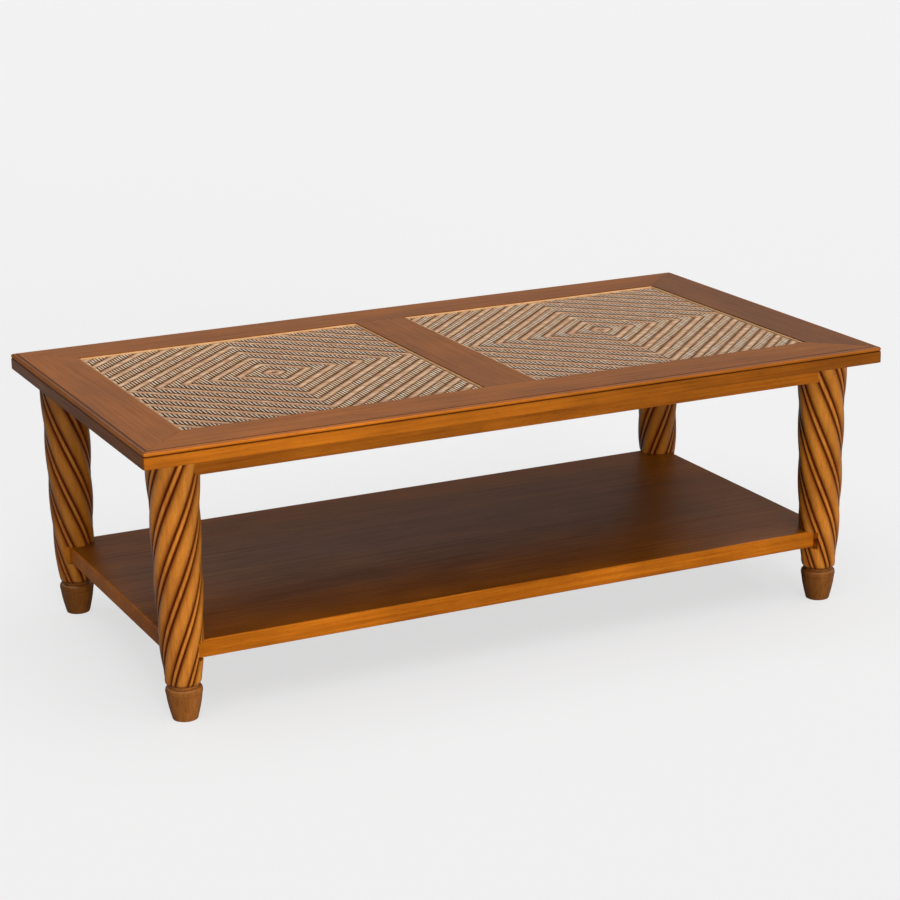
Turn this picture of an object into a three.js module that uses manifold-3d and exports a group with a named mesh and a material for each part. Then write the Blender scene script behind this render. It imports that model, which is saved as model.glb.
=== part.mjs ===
// A low rectangular wooden table. Its top is a moulded frame round two woven panels,
// and it stands on four tapered legs carved with a spiral of ribs, over a low shelf.
// Millimetres, +Z up. The origin is on the floor under the middle of the top,
// +X runs to the right along a long side, and the front side faces -Y.
import * as THREE from "three";
import { mergeVertices } from "three/addons/utils/BufferGeometryUtils.js";
import Module from "manifold-3d";

const wasm = await Module();
wasm.setup();

// The table as a whole
const tableLength = 1200;
const tableWidth = 650;
const tableHeight = 420;

// The gap between fitted pieces, and how far a cut runs past the face it opens
const fitClearance = 0.3;
const cutOverrun = 6;

// Frame of the top: flat rails with a bead between two quirks along the outer edge
const topThickness = 25;
const railWidth = 85;
const cornerRadius = 3.5;
const beadRadius = 2.8;
const quirkDepth = 2.2;
const quirkWidth = 1.3;
const railArris = 1;

// Backing boards in the rails' groove
const boardThickness = 9;
const boardDrop = 8;
const grooveDepth = 8;

// Cane strips round each opening, and the woven mats inside them
const stripWidth = 4;
const stripDrop = 1;
const matDrop = 3;

// Splines across the mitred corners
const splineLength = 60;
const splineWidth = 20;
const splineThickness = 4;

// Legs: where their axes stand, and the turned shape under the carving
const legEndSetback = 64;
const legSideSetback = 69;
const legTopRadius = 39.3;
const legHeightShares = [0, 0.05, 0.13, 0.25, 0.42, 0.6, 0.76, 0.9, 1];
const legRadiusShares = [0.7, 0.738, 0.788, 0.848, 0.886, 0.912, 0.937, 0.971, 1];
const curlHeight = 7;
const spigotRadius = 10;
const spigotLength = 25;

// Spiral carving: broad ribs, with a thin bead in the hollow between each pair
const ribCount = 6;
const spiralLead = 501;
const ribGrooveDepth = 4.2;
const ribShoulderDrop = 2.1;
const ribBeadDrop = 1.8;
const beadEdgeShare = 0.05;
const grooveShare = 0.135;
const shoulderShare = 0.22;
const crownShare = 0.5;
const ringSpacing = 18.5;
const curlRingShares = [0, 0.15, 0.5];

// Turned feet: a cup that widens upwards to a rounded collar under a short neck
const footHeight = 50;
const footBaseRadius = 18.6;
const footRimRadius = 26.9;
const footBaseEase = 1.2;
const neckHeight = 4;
const neckRadius = 22;
const scribeDepth = 0.7;
const scribeDrop = 11;

// Aprons under the top, housed in the heads of the legs
const apronHeight = 30;
const apronThickness = 22;
const apronFaceOffset = 27;
const apronEndOffset = 12;
const apronArris = 1.5;

// Corner blocks in the angle of the aprons
const blockHeight = 24;
const blockWidth = 32;
const blockLegGap = 2;

// Low shelf, let into notches in the legs, with edges a little outside the legs' axes
const shelfEndOverhang = 14;
const shelfSideOverhang = 11.5;
const shelfThickness = 27;
const shelfBottom = 90;
const shelfEdgeRadius = 3;
const notchEndOffset = 17;
const notchSideOffset = 20;

// Screws up through the aprons into the top, in counterbored holes
const screwRadius = 2;
const screwHeadRadius = 4;
const screwHeadHeight = 2.6;
const screwTipHeight = 4;
const screwLength = 35;
const counterboreDepth = 10;
const longScrewShares = [-0.32, 0, 0.32];
const shortScrewShares = [-0.22, 0.22];

// Dowels between the legs' ledges and the underside of the shelf
const dowelRadius = 2.5;
const dowelLegDepth = 10;
const dowelShelfDepth = 15;
const dowelOffset = 21.5;

// Facets round the turned pieces and on the small arcs
const footFacets = 16;
const roundFacets = 8;
const arcDivisions = 3;

// Heights and places that follow from the sizes above
const topUnderside = tableHeight - topThickness;
const apronBottom = topUnderside - fitClearance - apronHeight;
const legAxisX = tableLength / 2 - legEndSetback;
const legAxisY = tableWidth / 2 - legSideSetback;
const shelfLength = 2 * (legAxisX + shelfEndOverhang);
const shelfWidth = 2 * (legAxisY + shelfSideOverhang);
const legBottom = footHeight + neckHeight + fitClearance;
const legLength = topUnderside - fitClearance - legBottom;
const openingLength = (tableLength - 3 * railWidth) / 2;
const openingWidth = tableWidth - 2 * railWidth;
const openingCentreX = (openingLength + railWidth) / 2;
const boardTop = tableHeight - boardDrop;
const apronScrewInset = apronThickness / 2;

// The four corners: which way they lie from the middle, which way the spiral turns
// going up, and the angle of one of its beads at the foot, anticlockwise from +X
const corners = [
  { name: "front_left", x: -1, y: -1, turn: 1, phase: 28.5 },
  { name: "front_right", x: 1, y: -1, turn: -1, phase: 41.3 },
  { name: "back_left", x: -1, y: 1, turn: -1, phase: 53.3 },
  { name: "back_right", x: 1, y: 1, turn: 1, phase: 52 },
];

// The four sides: quarter turns from the front side, and the lengths that run along
// each side and across the table from it
const sides = [
  { name: "front", turns: 0, along: tableLength, across: tableWidth },
  { name: "right", turns: 1, along: tableWidth, across: tableLength },
  { name: "back", turns: 2, along: tableLength, across: tableWidth },
  { name: "left", turns: 3, along: tableWidth, across: tableLength },
];

const table = new THREE.Group();

// Materials: one new material for each piece
const finishes = {
  frameWood: { color: 0xb8732f, roughness: 0.42, metalness: 0 },
  carvedWood: { color: 0xa35a20, roughness: 0.3, metalness: 0 },
  footWood: { color: 0x91602f, roughness: 0.5, metalness: 0 },
  hiddenWood: { color: 0xb59468, roughness: 0.7, metalness: 0 },
  board: { color: 0x6b4a2f, roughness: 0.85, metalness: 0 },
  cane: { color: 0xdcc69b, roughness: 0.6, metalness: 0 },
  mat: { color: 0xcfae84, roughness: 0.75, metalness: 0 },
  steel: { color: 0x9a9c9f, roughness: 0.35, metalness: 1 },
};

function addPiece(parent, name, geometry, finish) {
  const material = new THREE.MeshStandardMaterial(finishes[finish]);
  const mesh = new THREE.Mesh(geometry, material);
  mesh.name = name;
  parent.add(mesh);
  return mesh;
}

// A closed mesh as a solid for joining and cutting, and the result as a mesh again
function solidOf(geometry) {
  const loose = geometry.index ? geometry.toNonIndexed() : geometry;
  const bare = new THREE.BufferGeometry();
  bare.setAttribute("position", loose.getAttribute("position"));
  const merged = mergeVertices(bare);
  const vertProperties = merged.getAttribute("position").array;
  const triVerts = new Uint32Array(merged.index.array);
  return new wasm.Manifold(new wasm.Mesh({ numProp: 3, vertProperties, triVerts }));
}

function geometryOf(solid) {
  const { vertProperties, triVerts } = solid.getMesh();
  const geometry = new THREE.BufferGeometry();
  geometry.setAttribute("position", new THREE.BufferAttribute(vertProperties, 3));
  geometry.setIndex(new THREE.BufferAttribute(triVerts, 1));
  const flat = geometry.toNonIndexed();
  flat.computeVertexNormals();
  return flat;
}

function cutFrom(geometry, tools) {
  const whole = solidOf(geometry);
  return geometryOf(tools.reduce((solid, tool) => solid.subtract(solidOf(tool)), whole));
}

function joined(geometry, additions) {
  const whole = solidOf(geometry);
  return geometryOf(additions.reduce((solid, part) => solid.add(solidOf(part)), whole));
}

// A box between two corners
function boxBetween(x0, x1, y0, y1, z0, z1) {
  const box = new THREE.BoxGeometry(Math.abs(x1 - x0), Math.abs(y1 - y0), Math.abs(z1 - z0));
  return box.translate((x0 + x1) / 2, (y0 + y1) / 2, (z0 + z1) / 2);
}

// An upright cylinder over the point (x, y), from height z0 to z1
function peg(x, y, z0, z1, radius) {
  const cylinder = new THREE.CylinderGeometry(radius, radius, z1 - z0, roundFacets);
  return cylinder.rotateX(Math.PI / 2).translate(x, y, (z0 + z1) / 2);
}

// A closed skin over a row of rings with equal numbers of points. The outline is the
// shape of a ring drawn flat, anticlockwise, and gives the triangles of the two ends.
function loft(rings, outline) {
  const count = outline.length;
  const triangles = [];
  for (let ring = 0; ring + 1 < rings.length; ring += 1) {
    for (let i = 0; i < count; i += 1) {
      const next = (i + 1) % count;
      const a = ring * count + i;
      const b = ring * count + next;
      triangles.push(a, b, b + count, a, b + count, a + count);
    }
  }
  const last = (rings.length - 1) * count;
  for (const [a, b, c] of THREE.ShapeUtils.triangulateShape(outline, [])) {
    triangles.push(c, b, a, last + a, last + b, last + c);
  }
  const geometry = new THREE.BufferGeometry().setFromPoints(rings.flat());
  geometry.setIndex(triangles);
  const flat = geometry.toNonIndexed();
  flat.computeVertexNormals();
  return flat;
}

// A straight bar of a given section along X. The section's first coordinate runs
// inwards from the bar's outer face, and mitred ends shorten the bar by as much.
function bar(outline, length, mitred) {
  const setback = mitred ? fitClearance / Math.SQRT2 : fitClearance;
  const ring = (end) =>
    outline.map(({ x: inward, y: height }) => {
      const halfLength = length / 2 - setback - (mitred ? inward : 0);
      return new THREE.Vector3(end * halfLength, inward, height);
    });
  return loft([ring(-1), ring(1)], outline);
}

// Top rails
// The section has a round bead on the outer arris, cut free by a quirk on the top and
// one on the edge, and a groove for the backing board in its inner face.
function railOutline() {
  const lip = 2 * beadRadius + quirkWidth;
  const quirkAngle = Math.asin((beadRadius - quirkDepth) / beadRadius);
  const grooveTop = fitClearance - boardDrop;
  const grooveFloor = railWidth - grooveDepth;
  const grooveBottom = -fitClearance - boardDrop - boardThickness;
  const section = new THREE.Shape();
  section.moveTo(railArris, -topThickness);
  section.lineTo(railWidth, -topThickness);
  section.lineTo(railWidth, grooveBottom);
  section.lineTo(grooveFloor, grooveBottom);
  section.lineTo(grooveFloor, grooveTop);
  section.lineTo(railWidth, grooveTop);
  section.lineTo(railWidth, 0);
  section.lineTo(lip, 0);
  const arcEnd = 1.5 * Math.PI - quirkAngle;
  section.absarc(beadRadius, -beadRadius, beadRadius, quirkAngle, arcEnd, false);
  section.lineTo(0, -lip);
  section.lineTo(0, railArris - topThickness);
  return section.getPoints(arcDivisions);
}

function roundedRectangle(length, width, radius) {
  const x = length / 2 - radius;
  const y = width / 2 - radius;
  const outline = new THREE.Shape();
  outline.absarc(x, y, radius, 0, Math.PI / 2, false);
  outline.absarc(-x, y, radius, Math.PI / 2, Math.PI, false);
  outline.absarc(-x, -y, radius, Math.PI, 1.5 * Math.PI, false);
  outline.absarc(x, -y, radius, 1.5 * Math.PI, 2 * Math.PI, false);
  return outline;
}

// A slot or tongue across the mitre at one end of a rail, lying at 45 degrees
function splineBlock(growth) {
  return new THREE.BoxGeometry(
    splineLength + 2 * growth,
    splineWidth + 2 * growth,
    splineThickness + 2 * growth,
  );
}

function topRail(side, screws) {
  const blankDepth = topThickness + 2 * cutOverrun;
  const blank = new THREE.ExtrudeGeometry(
    roundedRectangle(side.along, side.across, cornerRadius),
    { depth: blankDepth, bevelEnabled: false, curveSegments: arcDivisions },
  );
  blank.translate(0, side.across / 2, -topThickness - cutOverrun);
  const rail = solidOf(bar(railOutline(), side.along, true)).intersect(solidOf(blank));
  const middle = side.along / 2 - railWidth / 2;
  const slots = [-1, 1].map((end) =>
    splineBlock(fitClearance)
      .rotateZ((-end * Math.PI) / 4)
      .translate(end * middle, railWidth / 2, -topThickness / 2),
  );
  const holes = screws.map(({ x, y }) => {
    const tip = apronBottom + counterboreDepth + screwLength - tableHeight;
    const radius = screwRadius + fitClearance;
    return peg(x, y, -topThickness - cutOverrun, tip + fitClearance, radius);
  });
  return cutFrom(geometryOf(rail), [...slots, ...holes]);
}

// Screw places along an apron and the rail over it, in the side's own frame, where x
// runs along the side and y runs inwards from the table's edge
function screwPlaces(side) {
  const long = side.turns % 2 === 0;
  const shares = long ? longScrewShares : shortScrewShares;
  const setback = long ? legSideSetback : legEndSetback;
  const y = setback - apronFaceOffset + apronScrewInset;
  return shares.map((share) => ({ x: share * side.along, y }));
}

// Each side of the table is a group turned to face its own way
const sideGroups = {};
for (const side of sides) {
  const group = new THREE.Group();
  const halfAcross = side.across / 2;
  const angle = (side.turns * Math.PI) / 2;
  group.rotation.z = angle;
  group.position.set(halfAcross * Math.sin(angle), -halfAcross * Math.cos(angle), tableHeight);
  table.add(group);
  sideGroups[side.name] = group;
  addPiece(group, `top_${side.name}_rail`, topRail(side, screwPlaces(side)), "frameWood");
}

// The centre rail is grooved on both sides, and its stub tenons fill the long rails'
// grooves between the two backing boards
function centreRail() {
  const half = railWidth / 2;
  const grooveFloor = half - grooveDepth;
  const grooveTop = fitClearance - boardDrop;
  const grooveBottom = -fitClearance - boardDrop - boardThickness;
  const quarter = [
    [half, -topThickness],
    [half, grooveBottom],
    [grooveFloor, grooveBottom],
    [grooveFloor, grooveTop],
    [half, grooveTop],
    [half, 0],
  ];
  const right = quarter.map(([x, z]) => new THREE.Vector2(x, z));
  const left = quarter.map(([x, z]) => new THREE.Vector2(-x, z)).reverse();
  const body = bar([...right, ...left], openingWidth, false).rotateZ(Math.PI / 2);
  const tenonReach = openingWidth / 2 + grooveDepth - fitClearance;
  const tenon = boxBetween(
    -grooveFloor,
    grooveFloor,
    -tenonReach,
    tenonReach,
    -boardDrop - boardThickness,
    -boardDrop,
  );
  return joined(body, [tenon]);
}
const centre = addPiece(table, "top_centre_rail", centreRail(), "frameWood");
centre.position.z = tableHeight;

// Mitre splines, one across each corner at half the rails' thickness
for (const corner of corners) {
  const spline = addPiece(table, `${corner.name}_mitre_spline`, splineBlock(0), "hiddenWood");
  spline.position.set(
    corner.x * (tableLength / 2 - railWidth / 2),
    corner.y * (tableWidth / 2 - railWidth / 2),
    tableHeight - topThickness / 2,
  );
  spline.rotation.z = (corner.x * corner.y * Math.PI) / 4;
}

// Panels: a backing board in the grooves, the woven mat that lies on it, and a
// rounded cane strip along each edge of the opening
function stripOutline() {
  const radius = stripWidth / 2;
  const height = boardDrop - stripDrop - fitClearance;
  const section = new THREE.Shape();
  section.moveTo(0, 0);
  section.lineTo(stripWidth, 0);
  section.absarc(radius, height - radius, radius, 0, Math.PI, false);
  return section.getPoints(arcDivisions);
}

for (const [name, direction] of [["left", -1], ["right", 1]]) {
  const panel = new THREE.Group();
  panel.position.set(direction * openingCentreX, 0, boardTop);
  table.add(panel);
  const grooveReach = 2 * (grooveDepth - fitClearance);
  const board = new THREE.BoxGeometry(
    openingLength + grooveReach,
    openingWidth + grooveReach,
    boardThickness,
  );
  addPiece(panel, `${name}_backing_board`, board, "board").position.z = -boardThickness / 2;
  const matThickness = boardDrop - matDrop - fitClearance;
  const matMargin = 2 * (stripWidth + 2 * fitClearance);
  const mat = new THREE.BoxGeometry(
    openingLength - matMargin,
    openingWidth - matMargin,
    matThickness,
  );
  const matHeight = fitClearance + matThickness / 2;
  addPiece(panel, `${name}_woven_panel`, mat, "mat").position.z = matHeight;
  for (const side of sides) {
    const long = side.turns % 2 === 0;
    const along = (long ? openingLength : openingWidth) - 2 * fitClearance;
    const out = (long ? openingWidth : openingLength) / 2 - fitClearance;
    const angle = (side.turns * Math.PI) / 2;
    const geometry = bar(stripOutline(), along, true);
    const strip = addPiece(panel, `${name}_panel_${side.name}_strip`, geometry, "cane");
    strip.rotation.z = angle;
    strip.position.set(out * Math.sin(angle), -out * Math.cos(angle), fitClearance);
  }
}

// Legs
// The turned shape under the carving, at a share of the leg's length
const legCurve = new THREE.CubicInterpolant(legHeightShares, legRadiusShares, 1);

// One rib's section: how far round the rib each point lies, and how deep it is cut
const ribSection = [
  [beadEdgeShare, ribBeadDrop],
  [grooveShare, ribGrooveDepth],
  [shoulderShare, ribShoulderDrop],
  [crownShare, 0],
  [1 - shoulderShare, ribShoulderDrop],
  [1 - grooveShare, ribGrooveDepth],
  [1 - beadEdgeShare, ribBeadDrop],
];

// A ring of the carved surface at a height above the leg's lower end. At that end the
// ribs curl under and run out into the round neck.
function carvedRing(height, corner) {
  const crown = legTopRadius * legCurve.evaluate(height / legLength)[0];
  const out = Math.max(0, 1 - height / curlHeight);
  const curl = Math.sqrt(1 - out * out);
  const radius = neckRadius + (crown - neckRadius) * curl;
  const twist = (corner.turn * (height + legBottom - footHeight)) / spiralLead;
  const start = twist + corner.phase / 360;
  const points = [];
  for (let rib = 0; rib < ribCount; rib += 1) {
    for (const [share, drop] of ribSection) {
      const angle = 2 * Math.PI * (start + (rib + share) / ribCount);
      const reach = radius - drop * curl;
      points.push(new THREE.Vector3(reach * Math.cos(angle), reach * Math.sin(angle), height));
    }
  }
  return points;
}

function carvedLeg(corner) {
  const heights = curlRingShares.map((share) => share * curlHeight);
  const steps = Math.round((legLength - curlHeight) / ringSpacing);
  for (let step = 0; step <= steps; step += 1) {
    heights.push(curlHeight + ((legLength - curlHeight) * step) / steps);
  }
  const rings = heights.map((height) => carvedRing(height, corner));
  const outline = rings[0].map(({ x, y }) => new THREE.Vector2(x, y));
  const spigot = peg(0, 0, -spigotLength, cutOverrun, spigotRadius);
  const inX = -corner.x;
  const inY = -corner.y;
  const reach = legTopRadius + cutOverrun;

  // Open sockets in the head for the ends of the two aprons
  const socketFloor = apronBottom - fitClearance - legBottom;
  const socketTop = legLength + cutOverrun;
  const socketEnd = apronEndOffset - fitClearance;
  const socketOuter = -(apronFaceOffset + fitClearance);
  const socketInner = apronThickness - apronFaceOffset + fitClearance;
  const sideSocket = boxBetween(
    inX * socketEnd,
    inX * reach,
    inY * socketOuter,
    inY * socketInner,
    socketFloor,
    socketTop,
  );
  const endSocket = boxBetween(
    inX * socketOuter,
    inX * socketInner,
    inY * socketEnd,
    inY * reach,
    socketFloor,
    socketTop,
  );

  // The notch that takes the shelf leaves the leg's outer corner standing
  const ledge = shelfBottom - fitClearance - legBottom;
  const ceiling = shelfBottom + shelfThickness + fitClearance - legBottom;
  const endNotch = boxBetween(inX * notchEndOffset, inX * reach, -reach, reach, ledge, ceiling);
  const sideNotch = boxBetween(-reach, reach, inY * notchSideOffset, inY * reach, ledge, ceiling);
  const dowelFloor = ledge - dowelLegDepth;
  const dowelHole = peg(inX * dowelOffset, 0, dowelFloor, ceiling, dowelRadius + fitClearance);
  const carved = joined(loft(rings, outline), [spigot]);
  return cutFrom(carved, [sideSocket, endSocket, endNotch, sideNotch, dowelHole]);
}

// Feet: turned, with a blind bore for the leg's spigot
function turnedFoot() {
  const rimHeight = footHeight - (footRimRadius - neckRadius);
  const scribeHeight = footHeight - scribeDrop;
  const flare = new THREE.QuadraticBezierCurve(
    new THREE.Vector2(footBaseRadius, footBaseEase),
    new THREE.Vector2((footBaseRadius + 2 * footRimRadius) / 3, footHeight / 2),
    new THREE.Vector2(footRimRadius - scribeDepth, scribeHeight - scribeDepth),
  );
  const collar = new THREE.EllipseCurve(
    neckRadius,
    rimHeight,
    footRimRadius - neckRadius,
    footHeight - rimHeight,
    0,
    Math.PI / 2,
  );
  const top = footHeight + neckHeight;
  const boreRadius = spigotRadius + fitClearance;
  const boreFloor = legBottom - spigotLength - fitClearance;
  const profile = [
    new THREE.Vector2(0, 0),
    new THREE.Vector2(footBaseRadius - footBaseEase, 0),
    ...flare.getPoints(arcDivisions),
    new THREE.Vector2(footRimRadius - 2 * scribeDepth, scribeHeight),
    new THREE.Vector2(footRimRadius - scribeDepth / 2, scribeHeight + scribeDepth),
    ...collar.getPoints(arcDivisions),
    new THREE.Vector2(neckRadius, top),
    new THREE.Vector2(boreRadius, top),
    new THREE.Vector2(boreRadius, boreFloor),
    new THREE.Vector2(0, boreFloor),
  ];
  return new THREE.LatheGeometry(profile, footFacets).rotateX(Math.PI / 2);
}

// Corner blocks: a block across the angle of the aprons, clear of the leg's round head
function cornerBlock() {
  const face = apronThickness - apronFaceOffset + fitClearance;
  const near = Math.SQRT2 * (legTopRadius + blockLegGap) - face;
  const far = near + Math.SQRT2 * blockWidth;
  const outline = new THREE.Shape();
  outline.moveTo(near, face);
  outline.lineTo(far, face);
  outline.lineTo(face, far);
  outline.lineTo(face, near);
  return new THREE.ExtrudeGeometry(outline, { depth: blockHeight, bevelEnabled: false });
}

// Dowels that hold the shelf on the legs' ledges
function shelfDowel() {
  return peg(0, 0, -dowelLegDepth, dowelShelfDepth, dowelRadius);
}

for (const corner of corners) {
  const stand = new THREE.Group();
  stand.position.set(corner.x * legAxisX, corner.y * legAxisY, 0);
  table.add(stand);
  addPiece(stand, `${corner.name}_leg`, carvedLeg(corner), "carvedWood").position.z = legBottom;
  addPiece(stand, `${corner.name}_foot`, turnedFoot(), "footWood");
  const dowel = addPiece(stand, `${corner.name}_shelf_dowel`, shelfDowel(), "hiddenWood");
  dowel.position.set(-corner.x * dowelOffset, 0, shelfBottom);
  const block = addPiece(stand, `${corner.name}_corner_block`, cornerBlock(), "hiddenWood");
  block.position.z = topUnderside - fitClearance - blockHeight;
  block.rotation.z = Math.atan2(-corner.y, -corner.x) - Math.PI / 4;
}

// Aprons, each with its screws
function apron(length, screws) {
  const corner = apronArris;
  const outline = [
    [corner, 0],
    [apronThickness - corner, 0],
    [apronThickness, corner],
    [apronThickness, apronHeight],
    [0, apronHeight],
    [0, corner],
  ].map(([inward, height]) => new THREE.Vector2(inward, height));
  const holes = screws.flatMap(({ x }) => [
    peg(
      x,
      apronScrewInset,
      -cutOverrun,
      counterboreDepth + fitClearance,
      screwHeadRadius + fitClearance,
    ),
    peg(x, apronScrewInset, 0, apronHeight + cutOverrun, screwRadius + fitClearance),
  ]);
  return cutFrom(bar(outline, length, false), holes);
}

function topScrew() {
  const neck = screwHeadHeight;
  const profile = [
    new THREE.Vector2(0, 0),
    new THREE.Vector2(screwHeadRadius, 0),
    new THREE.Vector2(screwHeadRadius, neck),
    new THREE.Vector2(screwRadius, neck),
    new THREE.Vector2(screwRadius, neck + screwLength - screwTipHeight),
    new THREE.Vector2(0, neck + screwLength),
  ];
  return new THREE.LatheGeometry(profile, roundFacets).rotateX(Math.PI / 2);
}

for (const side of sides) {
  const long = side.turns % 2 === 0;
  const setback = (long ? legSideSetback : legEndSetback) - apronFaceOffset;
  const legSpan = 2 * (long ? legAxisX : legAxisY);
  const length = legSpan - 2 * (apronEndOffset - fitClearance);
  const screws = screwPlaces(side);
  const group = new THREE.Group();
  group.position.set(0, setback, apronBottom - tableHeight);
  sideGroups[side.name].add(group);
  addPiece(group, `${side.name}_apron`, apron(length, screws), "frameWood");
  screws.forEach(({ x }, index) => {
    const name = `${side.name}_apron_screw_${index + 1}`;
    const screw = addPiece(group, name, topScrew(), "steel");
    screw.position.set(x, apronScrewInset, counterboreDepth - screwHeadHeight);
  });
}

// Shelf: a board with rounded edges, notched at its corners round the legs
function lowShelf() {
  const inset = 2 * shelfEdgeRadius;
  const length = shelfLength - inset;
  const width = shelfWidth - inset;
  const outline = new THREE.Shape();
  outline.moveTo(-length / 2, -width / 2);
  outline.lineTo(length / 2, -width / 2);
  outline.lineTo(length / 2, width / 2);
  outline.lineTo(-length / 2, width / 2);
  const blank = new THREE.ExtrudeGeometry(outline, {
    depth: shelfThickness - inset,
    bevelSize: shelfEdgeRadius,
    bevelThickness: shelfEdgeRadius,
    bevelSegments: arcDivisions,
  });
  blank.translate(0, 0, shelfEdgeRadius);
  const notchX = legAxisX - notchEndOffset - fitClearance;
  const notchY = legAxisY - notchSideOffset - fitClearance;
  const endX = shelfLength / 2 + cutOverrun;
  const endY = shelfWidth / 2 + cutOverrun;
  const top = shelfThickness + cutOverrun;
  const cuts = corners.flatMap(({ x, y }) => [
    boxBetween(x * notchX, x * endX, y * notchY, y * endY, -cutOverrun, top),
    peg(
      x * (legAxisX - dowelOffset),
      y * legAxisY,
      -cutOverrun,
      dowelShelfDepth + fitClearance,
      dowelRadius + fitClearance,
    ),
  ]);
  return cutFrom(blank, cuts);
}
addPiece(table, "shelf", lowShelf(), "frameWood").position.z = shelfBottom;

export default table;
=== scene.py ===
import math
import random

import bmesh
import bpy
from mathutils import Matrix, Vector, noise


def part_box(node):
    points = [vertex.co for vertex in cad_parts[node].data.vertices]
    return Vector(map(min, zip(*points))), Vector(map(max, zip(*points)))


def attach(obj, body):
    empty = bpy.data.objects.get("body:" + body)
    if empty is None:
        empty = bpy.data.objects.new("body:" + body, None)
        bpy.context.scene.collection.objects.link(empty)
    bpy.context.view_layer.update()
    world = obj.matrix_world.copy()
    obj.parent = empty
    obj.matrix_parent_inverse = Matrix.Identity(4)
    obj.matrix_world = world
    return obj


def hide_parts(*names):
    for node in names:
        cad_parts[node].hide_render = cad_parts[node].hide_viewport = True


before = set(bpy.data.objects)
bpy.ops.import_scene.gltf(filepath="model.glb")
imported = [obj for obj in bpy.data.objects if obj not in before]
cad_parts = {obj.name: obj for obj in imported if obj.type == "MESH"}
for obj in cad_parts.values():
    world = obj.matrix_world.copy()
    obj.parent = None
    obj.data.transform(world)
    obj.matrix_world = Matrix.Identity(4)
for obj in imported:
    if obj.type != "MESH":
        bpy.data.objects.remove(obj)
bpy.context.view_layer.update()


# Rails of the top
# Four flat rails of honey-stained hardwood, mitred at the corners. A bead runs along the
# outer arris of each, a little below the flat, cut free by a quirk on the top and another
# on the edge. The other arrises are eased with sandpaper before the satin lacquer goes on.
RAIL_BEAD_RADIUS = 0.0028
RAIL_BEAD_SINK = 0.0012
RAIL_BEAD_STEPS = 12
RAIL_QUIRK_DEPTH = 0.0022
RAIL_TOP_QUIRK = 0.0034
RAIL_EDGE_QUIRK = 0.0014
RAIL_TOP_LIP = 2 * RAIL_BEAD_RADIUS + RAIL_TOP_QUIRK
RAIL_EDGE_LIP = 2 * RAIL_BEAD_RADIUS + RAIL_BEAD_SINK + RAIL_EDGE_QUIRK
# Glaze and painted shade in the quirks: how far they fade onto the flat, where they begin, and how
# strong they are on the edge quirk's lip
RAIL_QUIRK_SHADE_FADE = 0.0010
RAIL_GLAZE_AND_SHADE_START = 1.8 * RAIL_BEAD_RADIUS
RAIL_EDGE_GLAZE_AND_SHADE = 0.4
RAIL_ARRIS = 0.001
RAIL_EASE = 0.0004
RAIL_CORNER_RADIUS = 0.006
CORNER_STATION_SHARES = (1, 0.66, 0.33)
MITRE_GAP = 0.0002

# A point closer than this to a face counts as on it
NEAR = 0.0001

# A painted highlight along the moulding, and painted light and shade on each rail, on its edge and on
# its top, towards its two ends, as the light falls on it
MOULDING_PAINTED_HIGHLIGHT = 0.3
RAIL_PAINTED_LIGHT = {
    "front": ((0.46, -0.34), (0.03, -0.25)),
    "right": ((-0.4, -0.4), (-0.55, -0.55)),
    "back": ((0, 0), (-0.3, -0.12)),
    "left": ((-0.42, -0.42), (-0.08, -0.08)),
}


def srgb(code):
    """An sRGB hex colour as linear RGBA."""
    parts = [int(code[i:i + 2], 16) / 255 for i in (1, 3, 5)]
    return [p / 12.92 if p <= 0.04045 else ((p + 0.055) / 1.055) ** 2.4 for p in parts] + [1]


def add(tree, kind, settings=(), **inputs):
    """Adds a node. An input is a value or another node's output; _1 means socket number 1."""
    node = tree.nodes.new("ShaderNode" + kind)
    for key, value in dict(settings).items():
        setattr(node, key, value)
    for key, value in inputs.items():
        socket = node.inputs[int(key[1:]) if key[1:].isdigit() else key.replace("_", " ")]
        if isinstance(value, bpy.types.NodeSocket):
            tree.links.new(value, socket)
        else:
            socket.default_value = value
    return node


def new_material(name):
    """An empty node material with its tree and its Principled shader."""
    material = bpy.data.materials.new(name)
    material.use_nodes = True
    tree = material.node_tree
    return material, tree, tree.nodes["Principled BSDF"]


# Sizes in the hardwood, along the grain and across it. The pores are drawn several times as
# wide as real ones, so that they show.
PLANK_FIGURE = (0.55, 0.05)
GRAIN_LINE = (0.13, 0.0034)
PORE = (0.012, 0.0009)
STAIN_BLOTCH = (0.10, 0.05)
PORE_DEPTH = 0.0003


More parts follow.
